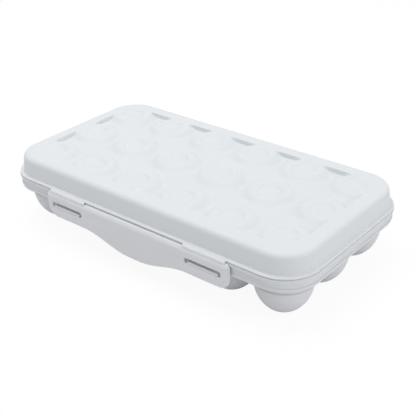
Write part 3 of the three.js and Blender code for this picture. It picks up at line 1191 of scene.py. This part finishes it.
@dataclass
class LatchFlap:
    """The latch flap with its grip and slots, and the two film hinges that carry it."""

    back: float = -87.075 * MM
    top: float = 46.2 * MM
    length: float = 199.5 * MM
    height: float = 23.7 * MM
    thickness: float = 2.7 * MM
    crown: float = 2.35 * MM
    crown_width: float = 3.9 * MM
    crown_shares: Profile = (
        (0, 0), (0.04, 0.16), (0.13, 0.32), (0.26, 0.49), (0.4, 0.65), (0.54, 0.785),
        (0.67, 0.885), (0.8, 0.955), (0.92, 0.99), (1, 1),
    )
    top_corner: float = 4 * MM
    foot_corner: float = 11 * MM
    grip_flat: float = 5 * MM
    grip_span: float = 52 * MM
    grip_drop: float = 9.5 * MM
    spread: float = 149.5 * MM
    slot_length: float = 36 * MM
    slot_height: float = 5 * MM
    slot_drop: float = 8.3 * MM
    slot_edge: float = 0.35 * MM
    slot_corner_share: float = 0.49
    slot_turn: float = math.radians(72)
    film_length: float = 41.7 * MM
    film: float = 0.5 * MM
    film_radius: float = 2.1 * MM
    film_place: Point = (0.5 * MM, -0.35 * MM)
    film_turn: Point = (76, 190)
    film_steps: int = 6
    film_crease: float = 60
    bend_start: Point = (0, 1.2 * MM)
    bend_end: Point = (-1.2 * MM, -0.2 * MM)
    groove: float = 0.16 * MM
    grooves: int = 3

    def outline(self) -> list[Point]:
        """Outline of the plate: a straight foot with a smooth wave down to the grip.

        Returns:
            Its points in X and Z, once round from the middle of the top edge.
        """
        end = self.length / 2
        foot = self.top - self.height
        upper = (end - self.top_corner, self.top - self.top_corner)
        lower = (end - self.foot_corner, foot + self.foot_corner)
        wave = (self.grip_flat + self.grip_span, foot), (self.grip_flat, foot - self.grip_drop)
        right = [
            *arc(upper, self.top_corner, 90, 0, 8),
            *arc(lower, self.foot_corner, 0, -90, 12),
            *slope(*wave, 28),
        ]
        left = [(-x, z) for x, z in reversed(right)]
        return [(0, self.top), *right, *left]

    def plate(self) -> Object:
        """Model the flap's plate with its crowned front edges and its slots.

        Returns:
            The finished plate.
        """
        points = [Vector((x, self.back, z)) for x, z in self.outline()]
        plate = draw_chain([*points, points[0].copy()])
        with editing(plate):
            bpy.ops.mesh.remove_doubles(threshold=DOUBLED)
            bpy.ops.mesh.edge_face_add()
            flat = self.thickness - self.crown
            bpy.ops.mesh.extrude_region_move(TRANSFORM_OT_translate={"value": (0, -flat, 0)})
            for here, there in pairwise(self.crown_shares):
                bpy.ops.mesh.inset(thickness=self.crown_width * (there[0] - here[0]), depth=0)
                rise = self.crown * (there[1] - here[1])
                bpy.ops.transform.translate(value=(0, -rise, 0))
            merge_and_orient()
        for side in Side:
            Combine.CUT.apply(plate, self.slot_cutter(side))
        with editing(plate):
            Select.EDGE.where(self.is_slot_edge)
            bpy.ops.mesh.bevel(offset=self.slot_edge, segments=3, affect="EDGES")
        return plate

    def is_slot_edge(self, edge: BMEdge) -> bool:
        """Whether an edge goes round a slot, on the plate's front or back.

        Args:
            edge: An edge of the plate.

        Returns:
            Whether it does.
        """
        middle = self.top - self.slot_drop - self.slot_height / 2
        return edge.calc_face_angle(0) > self.slot_turn and all(
            min(abs(v.co.y - self.back), abs(v.co.y - self.back + self.thickness)) < NEAR
            and abs(v.co.z - middle) < self.slot_height / 2 + NEAR
            and abs(abs(v.co.x) - self.spread / 2) < self.slot_length / 2 + NEAR
            for v in edge.verts
        )

    def slot_cutter(self, side: Side) -> Object:
        """Model what is cut out for one slot.

        Args:
            side: Which half of the flap it is on.

        Returns:
            The cutter.
        """
        cutter = add_shape(bpy.ops.mesh.primitive_cube_add, size=1)
        height = self.slot_height
        place = (side.value * self.spread / 2, self.back, self.top - self.slot_drop - height / 2)
        with editing(cutter):
            bpy.ops.transform.resize(value=(self.slot_length, 4 * self.thickness, height))
            bpy.ops.transform.translate(value=place)
            Select.EDGE.where(lambda e: abs(e.verts[0].co.y - e.verts[1].co.y) > self.thickness)
            corner = self.slot_corner_share * height
            bpy.ops.mesh.bevel(offset=corner, segments=8, affect="EDGES")
        return cutter

    def film_section(self) -> list[Point]:
        """Section of a film hinge, with fine grooves along its outer face.

        Returns:
            Place in Y and Z of each point, once round.
        """
        centre = (self.back + self.film_place[0], self.top + self.film_place[1])
        start, end = self.film_turn
        waves = self.grooves + 2
        count = self.film_steps * waves
        outer = []
        for i in range(count + 1):
            depth = self.groove * math.sin(math.pi * i / count * waves) ** 2
            angle = start + (end - start) * i / count
            outer += arc(centre, self.film_radius - depth, angle, angle, 1)[:1]
        return [*outer, *arc(centre, self.film_radius - self.film, end, start, 10)]

    def build_films(self) -> None:
        """Model the film hinges between the lid and the flap; they are baked in place and ride on
        no body.
        """
        for side in Side:
            low = side.value * self.spread / 2 - self.film_length / 2
            film = prism(self.film_section(), low, low + self.film_length)
            film.name = f"film_hinge_{side.label}"
            FLAP_PAINTED_LIGHTER_FINISH.dress(film, self.film_crease)
            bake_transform(film)
            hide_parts(f"flap_hinge_web_{side.label}")
            LOG.info("%s: %d faces between lid and flap", film.name, len(film.data.polygons))

    def build(self) -> None:
        """Model the flap and its film hinges."""
        hand_over(self.plate(), FLAP_PAINTED_LIGHTER_FINISH, Body.FLAP, "latch_flap")
        self.build_films()


@dataclass
class PhotoCamera:
    """The camera at the photograph's viewing angle."""

    focal_px: float = 829.29
    azimuth: float = 38.97
    elevation: float = 29.15
    distance: float = 722.84 * MM
    offset_right: float = 13.71 * MM
    offset_up: float = -21.31 * MM
    centre_px: Point = (214.82, 208.85)
    roll: float = -0.0173
    target: Place = (0, -2.225 * MM, 46.5 * MM)
    frame_px: float = 416
    sensor: float = 36
    nearest: float = 10 * MM

    def build(self) -> None:
        """Add the camera and make it the scene's own."""
        az, el = math.radians(self.azimuth), math.radians(self.elevation)
        back = Vector((math.sin(az) * math.cos(el), -math.cos(az) * math.cos(el), math.sin(el)))
        turn = back.to_track_quat("Z", "Y").to_matrix()
        right, up, _ = turn.col
        place = Vector(self.target) + back * self.distance
        place += right * self.offset_right + up * self.offset_up
        data = bpy.data.cameras.new("photo_camera")
        data.sensor_width = self.sensor
        data.lens = self.focal_px / self.frame_px * self.sensor
        data.shift_x = (self.frame_px / 2 - self.centre_px[0]) / self.frame_px
        data.shift_y = (self.centre_px[1] - self.frame_px / 2) / self.frame_px
        data.clip_start = self.nearest
        camera = bpy.data.objects.new("photo_camera", data)
        rolled = turn.to_4x4() @ Matrix.Rotation(self.roll, 4, "Z")
        camera.matrix_world = Matrix.Translation(place) @ rolled
        bpy.context.scene.collection.objects.link(camera)
        bpy.context.scene.camera = camera


@dataclass(frozen=True)
class Lamp:
    """A soft square lamp that faces the box, with its side in metres and its power in watts."""

    name: str
    place: Place
    side: float
    power: float

    def build(self) -> None:
        """Add the lamp."""
        data = bpy.data.lights.new(self.name, "AREA")
        data.size = self.side
        data.energy = self.power
        lamp = bpy.data.objects.new(self.name, data)
        lamp.location = self.place
        lamp.rotation_mode = "QUATERNION"
        lamp.rotation_quaternion = Vector(self.place).to_track_quat("Z", "Y")
        bpy.context.scene.collection.objects.link(lamp)


@dataclass
class Studio:
    """Plain pale floor, even sky and soft lamps."""

    sky: float = 0.52
    floor_size: float = 6
    floor_level: float = -0.1 * MM
    floor_roughness: float = 0.9
    paper: Colour = (0.82, 0.82, 0.82)
    white: Colour = (1, 1, 1)
    shown_white: float = 0.93
    lamps: tuple[Lamp, ...] = (
        Lamp("overhead", (-0.34, -0.02, 1.7), 1.4, 18),
        Lamp("right_side", (1.6, 0.15, 0.5), 1, 6),
    )

    def build_floor(self) -> None:
        """Add the floor, white to the camera away from the box's shadow."""
        place = (0, 0, self.floor_level)
        floor = add_shape(bpy.ops.mesh.primitive_plane_add, place, size=self.floor_size)
        floor.name = "floor"
        material = bpy.data.materials.new("floor_paper")
        material.use_nodes = True
        bench = NodeBench(material.node_tree)
        nodes = material.node_tree.nodes
        seen = bench.seen_rays()
        colour = bench.add(
            "Mix", data_type="RGBA", Factor=seen, A=(*self.paper, 1), B=(*self.white, 1)
        ).outputs["Result"]
        shader = bench.set(
            nodes["Principled BSDF"],
            Roughness=self.floor_roughness, Specular_IOR_Level=0, Base_Color=colour,
        )
        share = bench.math("MULTIPLY", seen, self.shown_white)
        glow = bench.add("Emission", Strength=1)
        blend = bench.add("MixShader")
        for target, source in zip(blend.inputs, (share, shader.outputs[0], glow.outputs[0])):
            bench.feed(target, source)
        bench.set(nodes["Material Output"], Surface=blend.outputs[0])
        floor.data.materials.append(material)

    def build_world(self) -> None:
        """Set an even sky, white where the camera sees it."""
        world = bpy.data.worlds.new("studio_sky")
        world.use_nodes = True
        bpy.context.scene.world = world
        bench = NodeBench(world.node_tree)
        strength = bench.add("Mix", data_type="FLOAT", Factor=bench.seen_rays(), A=self.sky, B=1)
        bench.set(
            world.node_tree.nodes["Background"],
            Color=(*self.white, 1), Strength=strength.outputs["Result"],
        )

    def build(self) -> None:
        """Add the floor, the sky and the lamps."""
        self.build_floor()
        self.build_world()
        for lamp in self.lamps:
            lamp.build()


def main() -> None:
    """Build the studio and the box, piece by piece."""
    logging.basicConfig(level=logging.INFO, format="%(name)s %(message)s")
    bpy.context.scene.view_settings.view_transform = "Standard"
    grain, wear = mould_grain_group(), edge_wear_group()
    for finish in (LID_FINISH, BASE_FINISH, FLAP_PAINTED_LIGHTER_FINISH):
        finish.build(grain, wear)
    grid = EggGrid()
    parts = LidShell(grid), BaseTray(grid), BackHinge(), LatchFlap()
    for part in (*parts, PhotoCamera(), Studio()):
        part.build()


if __name__ == "__main__":
    main()
